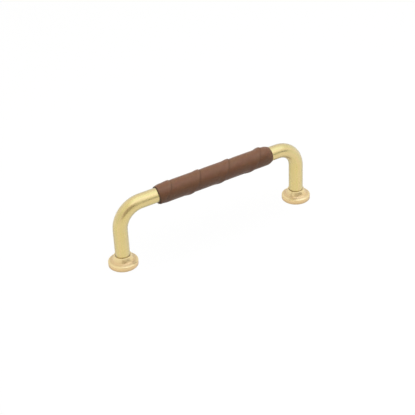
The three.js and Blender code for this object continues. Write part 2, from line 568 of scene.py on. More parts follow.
@dataclass(frozen=True)
class LeatherFinish:
    """Smooth brown leather: pebbled skin, uneven dye, dark cut edges, painted shade in the seams and paler
    stretched skin.

    The constants say how strongly each effect shows in the tone and the roughness.
    """

    name: str
    dye: Colour
    red_dye: Colour
    deep_dye: Colour
    stretched: Colour
    # The cut edges' own dark colour, which also paints the shade in the seams' hollows
    cut_edge: Colour
    roughness: float
    pebble_size: float = 0.55 * MM
    patch_size: float = 5 * MM
    grain_depth: float = 0.05 * MM
    gloss: float = 0.43

    CONTRAST = 2.6
    PATCH_TONE = 0.75
    SPECK_TONE = 0.4
    CREST_TONE = 0.25
    CREASE_TONE = 0.25
    PORE_TONE = 0.3
    EDGE_SHADE = 0.8
    SEAM_SHADE_STRENGTH = 0.55
    SPECK_ROUGHNESS = 0.12
    CREST_ROUGHNESS = 0.06
    SHADE_ROUGHNESS = 0.35

    def material(self) -> bpy.types.Material:
        """Makes the finish as a material, for a strip that carries its own place and its masks.

        Returns:
            The material.
        """
        material, tree, shader = new_material(self.name)
        place = place_on(tree, LeatherWrap.PLACE)
        grain = HideGrain().place_in(tree, Place=place, Pebble_Scale=1 / self.pebble_size)
        mottling = Mottling().place_in(tree, Place=place, Patch_Scale=1 / self.patch_size,
                                       Contrast=self.CONTRAST)
        creases, pores = Term(tree, grain["Creases"]), Term(tree, grain["Pores"])
        patches, specks = Term(tree, mottling["Patches"]), Term(tree, mottling["Specks"])
        edge, crest, painted_seam_shade = (mask_in(tree, name) for name in LeatherWrap.MASKS)

        colour = blend_colours(tree, patches * self.PATCH_TONE, self.dye, self.red_dye)
        colour = blend_colours(tree, specks * self.SPECK_TONE, colour, self.deep_dye)
        colour = blend_colours(tree, crest * self.CREST_TONE, colour, self.stretched)
        grained = (creases * self.CREASE_TONE + pores * self.PORE_TONE).ramp(0.0, 1.0, 0.0, 1.0, eased=False)
        colour = blend_colours(tree, grained, colour, self.deep_dye)
        # Painted shade: the seams' hollows are darkened to the cut edge's colour, as the cut edges are for
        # their own dark colour.
        edge_and_seam_shade = (edge * self.EDGE_SHADE).maths("MAXIMUM", painted_seam_shade * self.SEAM_SHADE_STRENGTH)
        colour = blend_colours(tree, edge_and_seam_shade, colour, self.cut_edge)
        rough = ((specks - 0.5) * self.SPECK_ROUGHNESS - crest * self.CREST_ROUGHNESS
                 + edge_and_seam_shade * self.SHADE_ROUGHNESS + self.roughness)
        feed_all(tree, shader, {"Base Color": colour, "Roughness": rough, "Specular IOR Level": self.gloss})
        add_relief(tree, shader, grain["Height"], self.grain_depth)
        return material


@dataclass
class Skin:
    """A closed surface over a row of rings, which all have as many points.

    Seen from where the rings are going, the points of a ring run anticlockwise round solid metal.
    """

    sides: int
    rings: list[np.ndarray] = field(default_factory=list)
    places: list[np.ndarray] = field(default_factory=list)
    grime_and_shade: list[float] = field(default_factory=list)
    worn: list[float] = field(default_factory=list)

    def add(self, ring: np.ndarray, place: np.ndarray, grime_and_shade: float, worn: float = 0.0) -> None:
        """Adds a ring.

        Args:
            ring: its points.
            place: the worked place of each point.
            grime_and_shade: how much tarnish and painted shade it has, from 0 to 1.
            worn: how bright it is worn, from 0 to 1.
        """
        self.rings.append(ring)
        self.places.append(place)
        self.grime_and_shade.append(grime_and_shade)
        self.worn.append(worn)

    def mesh(self, name: str, looped: bool) -> bpy.types.Mesh:
        """Joins the rings.

        Args:
            name: the mesh's name.
            looped: True if the last ring joins the first, False if the end rings are a point each.

        Returns:
            The closed mesh, shaded smooth between its sharp edges. It carries its worked place, a map along
            its lines, its tarnish and painted shade, and its wear.
        """
        sides, count = self.sides, len(self.rings)
        faces, corners = [], []
        for i in range(count if looped else count - 1):
            low, high = i * sides, (i + 1) % count * sides
            for j in range(sides):
                k = (j + 1) % sides
                faces.append((low + j, low + k, high + k, high + j))
                corners += [(j, i), (j + 1, i), (j + 1, i + 1), (j, i + 1)]
        mesh = bpy.data.meshes.new(name)
        mesh.from_pydata(np.concatenate(self.rings).tolist(), [], faces)
        layer = mesh.uv_layers.new(name=WORKED_MAP)
        spread = np.array(corners, np.float32) / (sides, count)
        layer.data.foreach_set("uv", spread.astype(np.float32).ravel())
        worked = mesh.attributes.new(WORKED_PLACE, "FLOAT_VECTOR", "POINT")
        worked.data.foreach_set("vector", np.concatenate(self.places).astype(np.float32).ravel())
        for mask, values in ((GRIME_AND_SHADE, self.grime_and_shade), (WORN, self.worn)):
            layer = mesh.attributes.new(mask, "FLOAT", "POINT")
            layer.data.foreach_set("value", np.repeat(np.array(values, np.float32), sides))
        if not looped:
            close_tips(mesh, (range(sides), range((count - 1) * sides, count * sides)))
        mesh.shade_smooth()
        mesh.set_sharp_from_angle(angle=SHARP_ANGLE)
        return mesh


def close_tips(mesh: bpy.types.Mesh, tips: tuple[range, range]) -> None:
    """Merges the points of each end ring, which lie together, into one.

    Args:
        mesh: the mesh, which is changed.
        tips: which of its points each end ring has.
    """
    shape = bmesh.new()
    shape.from_mesh(mesh)
    shape.verts.ensure_lookup_table()
    for verts in [[shape.verts[i] for i in tip] for tip in tips]:
        bmesh.ops.pointmerge(shape, verts=verts, merge_co=verts[0].co)
    shape.to_mesh(mesh)
    shape.free()


def near_to(value: float, middle: float, reach: float) -> float:
    """1 at the middle and 0 further than the reach away from it, with a smooth fall between."""
    closeness = max(0.0, 1.0 - abs(value - middle) / reach)
    return closeness * closeness * (3 - 2 * closeness)


def hand_over(mesh: bpy.types.Mesh, name: str, node: str) -> bpy.types.Object:
    """Puts a finished piece in the scene in the place of its plain CAD node.

    Args:
        mesh: the piece, in its place and with its material.
        name: the piece's name.
        node: the CAD node that it stands for.

    Returns:
        The piece's object.
    """
    piece = add_object(name, mesh)
    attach(piece, BODY)
    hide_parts(node)
    log.info("%s: %d faces in place of %s", name, len(mesh.polygons), node)
    return piece


@dataclass(frozen=True)
class TurnedFoot:
    """A turned brass foot: a rim with a sloping top, a cove up to a thin collar, a seat and a screw hole.

    It is worn bright on the rim's brow and on the collar. It is painted darker at the base edge and on the
    slope into the cove, which is painted shade, and inside the seat, which is tarnish and painted shade.
    """

    side: Side
    axis_x: float
    radius: float = 9.1 * MM
    height: float = 7.2 * MM
    web: float = 2 * MM
    edge_chamfer: float = 0.35 * MM
    rim_side: float = 2.2 * MM
    rim_round: float = 0.65 * MM
    rim_slope: float = math.radians(24)
    cove_radius: float = 7 * MM
    cove_flare: float = 0.95 * MM
    seat_radius: float = 4.6 * MM
    collar_wall: float = 0.75 * MM
    lip_round: float = 0.35 * MM
    mouth_chamfer: float = 0.12 * MM
    screw_radius: float = 2.25 * MM
    screw_chamfer: float = 0.3 * MM
    line_circle: float = 6 * MM
    worn_reach: float = 1.3 * MM
    bright_reach: float = 4 * MM
    # Reaches of the painted shade at the base edge and on the slope
    base_shade_reach: float = 2.6 * MM
    slope_shade_circle: float = 7.5 * MM
    slope_shade_band: float = 1.3 * MM
    sides: int = 144
    side_steps: int = 8
    arc_steps: int = 8
    slope_steps: int = 6
    cove_steps: int = 28

    SLOPE_SHADE = 0.5
    INSIDE_GRIME_AND_SHADE = 0.4

    def profile(self) -> np.ndarray:
        """Draws the foot's half section, up the outside and down the inside.

        Returns:
            Its points, as (radius, height).
        """
        side_top = self.edge_chamfer + self.rim_side
        collar = self.seat_radius + self.collar_wall
        rim = self.arc(self.radius, side_top, self.rim_round, math.pi / 2 - self.rim_slope)
        lip = self.arc(collar, self.height - self.lip_round, self.lip_round, math.pi / 2)
        shoulder, corner = (np.array((r, rim[-1][1] + (rim[-1][0] - r) * math.tan(self.rim_slope)))
                            for r in (self.cove_radius, collar + self.cove_flare))
        slope = np.linspace(rim[-1], shoulder, self.slope_steps + 1)[1:]
        # The cove is one curve, whose ends point at the corner.
        t = np.linspace(0, 1, self.cove_steps + 1)[1:-1, None]
        cove = (1 - t) ** 2 * shoulder + 2 * t * (1 - t) * corner + t ** 2 * lip[0]
        base = [(self.screw_radius + self.screw_chamfer, 0), (self.radius - self.edge_chamfer, 0)]
        # The side's rows are closest at the base, where the grime fades.
        up = np.linspace(0, 1, self.side_steps + 1)[:-1, None] ** 2
        side = up * (0, self.rim_side) + (self.radius, self.edge_chamfer)
        inside = [(self.seat_radius + self.mouth_chamfer, self.height),
                  (self.seat_radius, self.height - self.mouth_chamfer), (self.seat_radius, self.web),
                  (self.screw_radius, self.web), (self.screw_radius, self.screw_chamfer)]
        return np.vstack((base, side, rim, slope, cove, lip, inside))

    def arc(self, outside: float, start: float, radius: float, turned: float) -> np.ndarray:
        """Points from the outside up and in round an arc, as (radius, height).

        Args:
            outside: the arc's outermost radius, where it starts.
            start: the height that it starts at.
            radius: the arc's own radius.
            turned: how far round it goes.

        Returns:
            The points, the first and the last on the arc's ends.
        """
        angles = np.linspace(0, turned, self.arc_steps + 1)
        return np.column_stack((np.cos(angles), np.sin(angles))) * radius + (outside - radius, start)

    def wear(self, r: float, z: float) -> tuple[float, float]:
        """Finds how a point of the profile has aged.

        Args:
            r: the point's radius.
            z: its height.

        Returns:
            How much tarnish and painted shade it has, and how bright it is worn, from 0 to 1.
        """
        brow = (self.radius - self.rim_round, self.edge_chamfer + self.rim_side + self.rim_round)
        inside = r <= self.seat_radius + self.mouth_chamfer + CLOSE
        # Painted shade: darker towards the base edge, and on the slope into the cove, where it dims the
        # highlight.
        grime_and_shade = max(near_to(z, 0, self.base_shade_reach),
                    near_to(r, self.slope_shade_circle, self.slope_shade_band) * self.SLOPE_SHADE)
        worn = max(near_to(math.dist((r, z), brow), 0, self.worn_reach),
                   near_to(z, self.height, self.bright_reach))
        # Inside the seat and at its mouth: tarnish and painted shade of the gap.
        return self.INSIDE_GRIME_AND_SHADE if inside else grime_and_shade, worn

    def build(self, finish: BrassFinish) -> bpy.types.Object:
        """Turns the profile round the leg's axis.

        Args:
            finish: the foot's finish.

        Returns:
            The finished foot, handed over.
        """
        angles = np.linspace(0, math.tau, self.sides, endpoint=False)
        circle = np.column_stack((np.cos(angles), np.sin(angles)))
        points = self.profile()
        lengths = np.concatenate(([0], np.cumsum(np.linalg.norm(np.diff(points, axis=0), axis=1))))
        skin = Skin(self.sides)
        for (r, z), length in zip(points, lengths):
            ring = np.column_stack((circle * r + (self.axis_x, 0), np.full(self.sides, z)))
            place = np.column_stack((circle * self.line_circle, np.full(self.sides, length)))
            skin.add(ring, place, *self.wear(r, z))
        node = f"{self.side.name.lower()}_foot"
        mesh = skin.mesh(f"{node}_turned", looped=True)
        mesh.materials.append(finish.material())
        return hand_over(mesh, mesh.name, node)


@dataclass(frozen=True)
class BowRod:
    """The brass rod: two legs and a grip with a round bend between each, and a tapped hole up each leg."""

    hole_spacing: float = 128 * MM
    radius: float = 4.5 * MM
    grip_height: float = 39.2 * MM
    bend_radius: float = 14.6 * MM
    end_height: float = 2 * MM
    end_chamfer: float = 0.4 * MM
    drill_radius: float = 1.65 * MM
    thread_radius: float = 2 * MM
    thread_pitch: float = 0.7 * MM
    tapped_depth: float = 9 * MM
    drilled_depth: float = 12 * MM
    mouth_chamfer: float = 0.5 * MM
    mouth_margin: float = 0.15 * MM
    point_angle: float = math.radians(118)
    foot_height: float = 7.2 * MM
    grime_and_shade_reach: float = 0.9 * MM
    sides: int = 80
    bend_steps: int = 44
    ring_spacing: float = 0.6 * MM
    thread_steps: int = 8

    FLANK_SLOPE = 3.0
    CREST_SHARE = 0.25
    COLLAR_GRIME_AND_SHADE = 0.4

    @property
    def leg_x(self) -> float:
        """How far each leg's axis is from the middle."""
        return self.hole_spacing / 2

    @property
    def bend_x(self) -> float:
        """How far from the middle the grip is straight."""
        return self.leg_x - self.bend_radius

    def thread(self, height: float, around: np.ndarray) -> np.ndarray:
        """Cuts the thread, a right-hand groove that runs out at both ends.

        Args:
            height: how far up the leg it is.
            around: where the points are round the hole.

        Returns:
            The hole's radius at each point.
        """
        turns = height / self.thread_pitch - around / math.tau
        groove = np.clip(self.FLANK_SLOPE * np.abs(turns % 1.0 - 0.5) - self.CREST_SHARE, 0, 1)
        depth = self.thread_radius - self.drill_radius
        deep_end = min(1.0, max(0.0, (self.tapped_depth - height) / self.thread_pitch))
        return self.drill_radius + depth * groove * deep_end

    def hole(self, side: Side, angles: np.ndarray) -> list[tuple[float, np.ndarray]]:
        """Lays out a leg's hole and end face, from the drill point down and out to the edge.

        Args:
            side: the side that the leg is on.
            angles: where the points are round each ring.

        Returns:
            Each ring's height above the leg's end, and its radii.
        """
        around = angles if side is Side.LEFT else math.pi - angles
        one = np.ones_like(angles)
        point = self.drill_radius / math.tan(self.point_angle / 2)
        rings = [(self.drilled_depth + point, one * 0), (self.drilled_depth, one * self.drill_radius)]
        step = self.thread_pitch / self.thread_steps
        for height in np.arange(self.tapped_depth, self.mouth_chamfer, -step):
            rings.append((height, self.thread(height, around)))
        mouth, edge = self.thread_radius + self.mouth_margin, self.radius - self.end_chamfer
        rings += [(0.0, one * mouth), (0.0, one * edge), (self.end_chamfer, one * self.radius)]
        return rings

    def half(self, side: Side, angles: np.ndarray) -> list[tuple[np.ndarray, float, float]]:
        """Lays out the rings from a leg's drill point to the middle of the grip.

        Args:
            side: the side that the half is on.
            angles: where the points are round each ring.

        Returns:
            Each ring's points, how far along the rod it is, and how much tarnish and painted shade it has.
        """
        rings: list[tuple[np.ndarray, float, float]] = []

        def ring(x: float, z: float, turned: float, radii: np.ndarray, along: float, grime_and_shade: float) -> None:
            """Adds a ring.

            Args:
                x: where its middle is along the grip, on the left half.
                z: its middle's height.
                turned: how far it faces away from straight up, towards the grip.
                radii: how far each point is from its middle.
                along: how far along the rod it is.
                grime_and_shade: how much tarnish and painted shade it has, from 0 to 1.
            """
            out, across = radii * np.cos(angles), radii * np.sin(angles)
            points = np.column_stack((x + out * math.cos(turned), across, z - out * math.sin(turned)))
            rings.append((points * (-side.value, 1, 1), along, grime_and_shade))

        whole = np.full_like(angles, self.radius)
        # Inside the hole and the foot's seat the rod is fully darkened, fading out at the collar: tarnish
        # and painted shade of the joint.
        for height, radii in self.hole(side, angles):
            ring(-self.leg_x, self.end_height + height, 0, radii, -height, 1.0)
        low, high = self.end_height + self.end_chamfer, self.grip_height - self.bend_radius
        for z in np.linspace(low, high, math.ceil((high - low) / self.ring_spacing) + 1)[1:-1]:
            fading = near_to(z, self.foot_height, self.grime_and_shade_reach) * self.COLLAR_GRIME_AND_SHADE
            ring(-self.leg_x, z, 0, whole, z, 1.0 if z < self.foot_height else fading)
        for turned in np.linspace(0, math.pi / 2, self.bend_steps + 1):
            x = -self.bend_x - self.bend_radius * math.cos(turned)
            z = high + self.bend_radius * math.sin(turned)
            ring(x, z, turned, whole, high + turned * self.bend_radius, 0.0)
        bent = high + self.bend_radius * math.pi / 2
        for x in np.linspace(-self.bend_x, 0, math.ceil(self.bend_x / self.ring_spacing) + 1)[1:]:
            ring(x, self.grip_height, math.pi / 2, whole, bent + x + self.bend_x, 0.0)
        return rings

    def build(self, finish: BrassFinish) -> bpy.types.Object:
        """Joins both halves in the middle of the grip.

        Args:
            finish: the rod's finish.

        Returns:
            The finished rod, handed over.
        """
        angles = np.linspace(0, math.tau, self.sides, endpoint=False)
        left, right = (self.half(side, angles) for side in Side)
        length = left[-1][1]
        right = [(points, 2 * length - along, grime_and_shade) for points, along, grime_and_shade in reversed(right[:-1])]
        skin = Skin(self.sides)
        circle = np.column_stack((np.cos(angles), np.sin(angles))) * self.radius
        for points, along, grime_and_shade in left + right:
            skin.add(points, np.column_stack((circle, np.full(self.sides, along))), grime_and_shade)
        mesh = skin.mesh("bent_rod", looped=False)
        mesh.materials.append(finish.material())
        return hand_over(mesh, mesh.name, "handle_rod")


@dataclass(frozen=True)
class LeatherWrap:
    """One strip of leather wound round the grip, each turn's edge lapped over the next turn.

    Its lengths and angles are the inputs of the Geometry Nodes tree that winds it.
    """

    axis_height: float
    left_end: float
    right_end: float
    inner_radius: float = 4.6 * MM
    thickness: float = 1.3 * MM
    pitch: float = 21.3 * MM
    lap: float = 4 * MM
    seam_gap: float = 0.06 * MM
    seam_thickness: float = 1.15 * MM
    tip_thickness: float = 0.3 * MM
    edge_thickness: float = 0.35 * MM
    edge_round: float = 0.14 * MM
    crest_setback: float = 1.3 * MM
    crest_rise: float = 0.11 * MM
    climb: float = 1.5 * MM
    start_angle: float = math.radians(250)
    left_edge: float = 0.6 * MM
    left_taper: float = 4.6 * MM
    right_edge: float = 0.42 * MM
    right_taper: float = 4.8 * MM
    bow: float = 0.7 * MM
    slack: float = 0.3
    fullness: float = 0.4
    full_at: float = 8 * MM
    full_reach: float = 4 * MM
    pressed: float = 0.45
    sway: float = 2.5 * MM
    sway_angle: float = math.radians(144)
    sway_fade: float = 6.5 * MM
    unevenness: float = 0.05 * MM
    unevenness_seed: float = 3.0

    PLACE = "strip_place"
    MASKS = ("cut_edge", "crest", "painted_seam_shade")
    OUTER_POINTS = 120
    INNER_POINTS = 40
    STEPS_PER_TURN = 88

    # Shares of the sway by which the seams drift, and where the last one does
    LEAST_DRIFT = 0.15
    DRIFT_BELOW = 0.3
    DRIFT_ABOVE = -0.28
    LAST_DRIFT = 0.6
    BELOW_SINE = -0.7
    ABOVE_SINE = 0.3
    LAST_FROM = 0.3
    LAST_TO = 0.7

    # How full the leather stands: shares of the slack, of the taper and of the last seam's place
    LEAST_SLACK = 0.35
    END_SLACK = 1.5
    END_REACH = 0.7
    SAG_FROM_SINE = 0.2
    SAG_TO_SINE = -0.9
    FULL_SINE = 0.8
    PRESSED_FROM = 1.7
    PRESSED_TO = 1.1
    END_ROUNDING = 0.7
    EVENNESS = 0.45

    # The leather's swells, by how many there are to the metre and by their strength
    BROAD_SCALE = 150.0
    BROAD_DETAIL = 2.0
    BROAD_SWELL = 2.0
    FINE_SCALE = 520.0
    FINE_DETAIL = 1.0
    FINE_SWELL = 0.7

    # Where the cut edges, the crests and the painted shade in the seams' hollows are dressed, and how
    # strongly
    EDGE_BAND = (0.1 * MM, 0.35 * MM)
    END_BAND = (0.05 * MM, 0.35 * MM)
    DEEP_BAND = (0.2 * MM, 0.9 * MM)
    WIDE_BAND = (0.3 * MM, 2.6 * MM)
    DEEP_SHADE = 0.65
    WIDE_SHADE = 0.35
    LAST_SEAM = (1.5, 4.0)
    LAST_SHADE = 0.3
    SHADED_SINES = (0.35, 0.75)
    SHADE_BELOW = 0.12

    SKIN_LENGTH = 1.3
    MERGE_REACH = 0.001 * MM

    def stretch(self, s: SimpleNamespace, x: Term) -> Term:
        """Pares the leather down towards both ends.

        Args:
            s: the tree's sizes.
            x: the place along the grip.

        Returns:
            How much of its full thickness it keeps there.
        """
        shares = []
        for distance, edge, taper in ((x - s.left_end, s.left_edge, s.left_taper),
                                      (-x + s.right_end, s.right_edge, s.right_taper)):
            rest = distance.ramp(0.0, taper, 1.0, 0.0, eased=False)
            least = edge / s.thickness
            shares.append((-(rest * rest) + 1.0) * (-least + 1.0) + least)
        return shares[0] * shares[1]

    def upper_side(self, s: SimpleNamespace, back: Term, forth: Term, kept: Term) -> Term:
        """The height of the strip's skin side above the rod.

        Args:
            s: the tree's sizes.
            back: the distance from the lapping edge.
            forth: the distance from the tucked edge.
            kept: how much is left of the lapping edge's step, which is pressed flatter at the last seam.

        Returns:
            The height, before the ends are pared down.
        """
        tucked = forth.ramp(0.0, s.lap, s.tip_thickness, s.seam_thickness, eased=False)
        filling = forth.ramp(s.lap, s.lap * 2.0, 0.0, s.thickness - s.seam_thickness)
        crest = s.seam_thickness + s.seam_gap - s.thickness + (s.edge_thickness + s.crest_rise) * kept
        lifting = back.ramp(s.lap + s.climb, s.crest_setback, 0.0, crest)
        falling = back.ramp(s.crest_setback, 0.0, 0.0, s.crest_rise * kept)
        cornered = back.ramp(0.0, s.edge_round, 1.0, 0.0, eased=False)
        return tucked + filling + lifting - falling - cornered * cornered * s.edge_round * kept

    def lower_side(self, s: SimpleNamespace, back: Term) -> Term:
        """The height of the strip's flesh side, which lies on the rod and then on the turn beside it.

        Args:
            s: the tree's sizes.
            back: the distance from the lapping edge.

        Returns:
            The height above the rod, before the ends are pared down.
        """
        climbing = back.ramp(s.lap + s.climb, s.lap, 0.0, s.tip_thickness + s.seam_gap)
        lapping = back.ramp(s.lap, 0.0, 0.0, s.seam_thickness - s.tip_thickness, eased=False)
        return climbing + lapping

    def sideways(self, s: SimpleNamespace, x: Term, angle: Term) -> Term:
        """Lets the seams drift, as the hand that wound the strip did.

        Args:
            s: the tree's sizes.
            x: the place along the grip.
            angle: the angle round the grip.

        Returns:
            How far the leather there is moved along the grip.
        """
        facing = (angle - s.sway_angle).maths("COSINE").ramp(0.0, 1.0, 0.0, 1.0)
        spare = (-x + s.right_end) / (s.right_end - s.left_end)
        drift = (spare * spare * s.sway + s.sway * self.LEAST_DRIFT) * facing
        early = angle.maths("SINE").ramp(self.BELOW_SINE, self.ABOVE_SINE, s.sway * self.DRIFT_BELOW,
                                         s.sway * self.DRIFT_ABOVE)
        late = x.ramp(s.right_end * self.LAST_FROM, s.right_end * self.LAST_TO, early,
                      s.sway * self.LAST_DRIFT)
        free = (x - s.left_end).ramp(0.0, s.sway_fade, 0.0, 1.0)
        free = free * (-x + s.right_end).ramp(0.0, s.sway_fade, 0.0, 1.0)
        return (drift + late) * free

    def section(self, x: Term, y: Term) -> tuple[Term, Term]:
        """Finds where a point of the tube lies in the strip's section.

        Args:
            x: the point's place on X in the plain tube.
            y: its place on Y.

        Returns:
            1 on the skin side and 0 on the flesh side, and how far it is from the tucked edge, as a share of
            the width, with more points near both edges.
        """
        points = self.OUTER_POINTS + self.INNER_POINTS
        rounded = (y.maths("ARCTAN2", x) * (points / math.tau)).maths("ROUND")
        station = rounded.maths("FLOORED_MODULO", float(points))
        above = station.maths("LESS_THAN", self.OUTER_POINTS - 0.5)
        out_share = station / (self.OUTER_POINTS - 1.0)
        in_share = -(station - float(self.OUTER_POINTS)) / (self.INNER_POINTS - 1.0) + 1.0
        share = in_share + above * (out_share - in_share)
        wave = (1.0 - self.EVENNESS) / 2
        return above, share * self.EVENNESS - (share * math.pi).maths("COSINE") * wave + wave

    def filling_out(self, s: SimpleNamespace, along: Term, upright: Term) -> Term:
        """Lets the leather sag under the grip, and fills it out over the end that is tucked in.

        Args:
            s: the tree's sizes.
            along: the place along the grip.
            upright: the sine of the angle round the grip.

        Returns:
            The factor on the leather's height there.
        """
        sagging = (along.ramp(s.left_end, s.right_end, s.slack, s.slack * self.LEAST_SLACK)
                   + along.ramp(s.left_end, s.left_end + s.left_taper * self.END_REACH,
                                s.slack * self.END_SLACK, 0.0))
        sagging = sagging * upright.ramp(self.SAG_FROM_SINE, self.SAG_TO_SINE, 0.0, 1.0)
        from_full = (along - s.right_end + s.full_at).maths("ABSOLUTE")
        filled = from_full.ramp(0.0, s.full_reach, s.fullness, 0.0)
        return sagging + filled * upright.ramp(0.0, self.FULL_SINE, 0.0, 1.0) + 1.0

    def masks(self, s: SimpleNamespace, back: Term, forth: Term, along: Term, at_ends: Term,
              upright: Term) -> tuple[Term, Term, Term]:
        """Works out the strip's masks.

        Args:
            s: the tree's sizes.
            back: the distance from the lapping edge.
            forth: the distance from the tucked edge.
            along: the place along the grip.
            at_ends: the distance from the nearer end of the leather.
            upright: the sine of the angle round the grip.

        Returns:
            How much of a cut edge, of a seam's crest and of painted shade in the seams' hollows a point has,
            as
            MASKS has them.
        """
        edge = back.ramp(*self.EDGE_BAND, 1.0, 0.0).maths("MAXIMUM", at_ends.ramp(*self.END_BAND, 1.0, 0.0))
        crest = (back - s.crest_setback).maths("ABSOLUTE").ramp(0.0, s.crest_setback, 1.0, 0.0)
        near, far = (s.right_taper * share for share in self.LAST_SEAM)
        # The crest's paler tone and the painted seam shade fade towards the right end, and most where the
        # seam faces down.
        clear = (-along + s.right_end).ramp(near, far, self.LAST_SHADE, 1.0)
        clear = clear * upright.ramp(*self.SHADED_SINES, self.SHADE_BELOW, 1.0)
        deep, wide = ([s.lap + distance for distance in band] for band in (self.DEEP_BAND, self.WIDE_BAND))
        # Painted shade at the foot of the next turn's lapping edge: a dark core and a broad soft band.
        painted_seam_shade = forth.ramp(*deep, self.DEEP_SHADE, 0.0) + forth.ramp(*wide, self.WIDE_SHADE, 0.0)
        return edge, crest * clear, painted_seam_shade * clear

    def tree(self) -> Tree:
        """Makes the Geometry Nodes tree that bends a tube's points into the wound strip.

        Returns:
            The tree. Its inputs are the wrap's sizes and its finish.
        """
        tree = bpy.data.node_groups.new("wound_strip", "GeometryNodeTree")
        for size in fields(self):
            tree.interface.new_socket(name=size.name, in_out="INPUT", socket_type="NodeSocketFloat")
        tree.interface.new_socket(name="finish", in_out="INPUT", socket_type="NodeSocketMaterial")
        tree.interface.new_socket(name="strip", in_out="OUTPUT", socket_type="NodeSocketGeometry")
        taken, given = tree.nodes.new("NodeGroupInput"), tree.nodes.new("NodeGroupOutput")
        s = SimpleNamespace(**{size.name: Term(tree, taken.outputs[size.name]) for size in fields(self)})

        # The tube is a turn high for each turn of the strip, and each of its rings is one section of it.
        width = s.pitch + s.lap
        turns = (s.right_end - s.left_end + width) / s.pitch
        steps = (turns * float(self.STEPS_PER_TURN)).maths("CEIL")
        tube = add_node(tree, "GeometryNodeMeshCylinder",
                        {"Vertices": self.OUTER_POINTS + self.INNER_POINTS, "Side Segments": steps,
                         "Radius": 1.0, "Depth": turns})
        x, y, z = parts_of(tree, add_node(tree, "GeometryNodeInputPosition").outputs[0])
        turn = z + turns * 0.5
        above, share = self.section(x, y)
        angle = -(turn * math.tau) + s.start_angle
        crosswise, upright = angle.maths("COSINE"), angle.maths("SINE")
        lapping_x = s.left_end + turn * s.pitch
        # The left end's cut bows in a little above and below.
        s.left_end = s.left_end + (-((angle - s.sway_angle) * 2.0).maths("COSINE") + 1.0) * s.bow * 0.5

        near = (lapping_x - width).maths("MAXIMUM", s.left_end)
        far = lapping_x.maths("MINIMUM", s.right_end)
        along = near + (far - near) * share
        back = lapping_x - along
        forth = width - back
        kept = along.ramp(s.right_end - s.full_at * self.PRESSED_FROM,
                          s.right_end - s.full_at * self.PRESSED_TO, 1.0, s.pressed)
        low, high = self.lower_side(s, back), self.upper_side(s, back, forth, kept)
        at_ends = (along - s.left_end).maths("MINIMUM", -along + s.right_end)
        dulled = at_ends.ramp(0.0, s.edge_round, 1.0, 0.0, eased=False)
        high = high - dulled * dulled * s.edge_round * self.END_ROUNDING
        height = (low + above * (high - low)) * self.stretch(s, along) * self.filling_out(s, along, upright)

        drifted = along + self.sideways(s, along, angle)
        middle = s.inner_radius + s.thickness
        spot = vector_of(tree, drifted, crosswise * middle + s.unevenness_seed, upright * middle)
        broad = noise_in(tree, spot, self.BROAD_SCALE, self.BROAD_DETAIL) - 0.5
        fine = noise_in(tree, spot, self.FINE_SCALE, self.FINE_DETAIL) - 0.5
        swell = (broad * self.BROAD_SWELL + fine * self.FINE_SWELL) * s.unevenness
        radius = s.inner_radius + height + swell * height.ramp(0.0, s.tip_thickness, 0.0, 1.0)
        wound = vector_of(tree, drifted, radius * crosswise, radius * upright + s.axis_height)

        place = vector_of(tree, turn * s.inner_radius * math.tau * self.SKIN_LENGTH, back, radius)
        masks = self.masks(s, back, forth, along, at_ends, upright)
        carried = [(self.PLACE, "FLOAT_VECTOR", place)]
        carried += [(name, "FLOAT", mask) for name, mask in zip(self.MASKS, masks)]
        flow = tube.outputs["Mesh"]
        for name, kind, value in carried:
            inputs = {"Geometry": flow, "Name": name, "Value": value}
            flow = add_node(tree, "GeometryNodeStoreNamedAttribute", inputs, data_type=kind).outputs[0]
        for kind, inputs in (("GeometryNodeSetPosition", {"Position": wound}),
                             ("GeometryNodeMergeByDistance", {"Distance": self.MERGE_REACH}),
                             ("GeometryNodeSetShadeSmooth", {}),
                             ("GeometryNodeRealizeInstances", {}),
                             ("GeometryNodeSetMaterial", {"Material": taken.outputs["finish"]})):
            flow = add_node(tree, kind, {"Geometry": flow, **inputs}).outputs[0]
        feed(tree, given.inputs["strip"], flow)
        return tree

    def build(self, finish: LeatherFinish) -> bpy.types.Object:
        """Winds the strip with the tree and makes a plain mesh of it.

        Args:
            finish: the leather's finish.

        Returns:
            The finished wrap, handed over.
        """
        holder = add_object("winding", bpy.data.meshes.new("winding"))
        modifier = holder.modifiers.new("winding", "NODES")
        modifier.node_group = self.tree()
        sockets = {item.name: item.identifier for item in modifier.node_group.interface.items_tree}
        for size in fields(self):
            modifier[sockets[size.name]] = getattr(self, size.name)
        modifier[sockets["finish"]] = finish.material()
        wound = holder.evaluated_get(bpy.context.evaluated_depsgraph_get())
        mesh = bpy.data.meshes.new_from_object(wound)
        holder.modifiers.clear()
        bpy.data.objects.remove(holder)
        mesh.name = "wound_leather"
        # The tube that the tree starts from brings an empty slot.
        mesh.materials.pop(index=0)
        mesh.set_sharp_from_angle(angle=SHARP_ANGLE)
        return hand_over(mesh, mesh.name, "leather_wrap")


@dataclass(frozen=True)
class Lamp:
    """A round soft lamp that looks down at the object. A reflection of it adds to the sky's behind it."""

    name: str
    energy: float
    size: float
    place: tuple[float, float, float]
    mirrored: bool
    colour: Colour = (1.0, 1.0, 1.0)

    def hang(self) -> None:
        """Hangs the lamp, which shows in polished metal only if it is mirrored."""
        light = bpy.data.lights.new(self.name, "AREA")
        light.shape = "DISK"
        light.size = self.size
        light.energy = self.energy
        light.color = self.colour
        lamp = add_object(self.name, light)
        lamp.location = self.place
        lamp.rotation_euler = Vector(self.place).to_track_quat("Z", "Y").to_euler()
        lamp.visible_glossy = self.mirrored


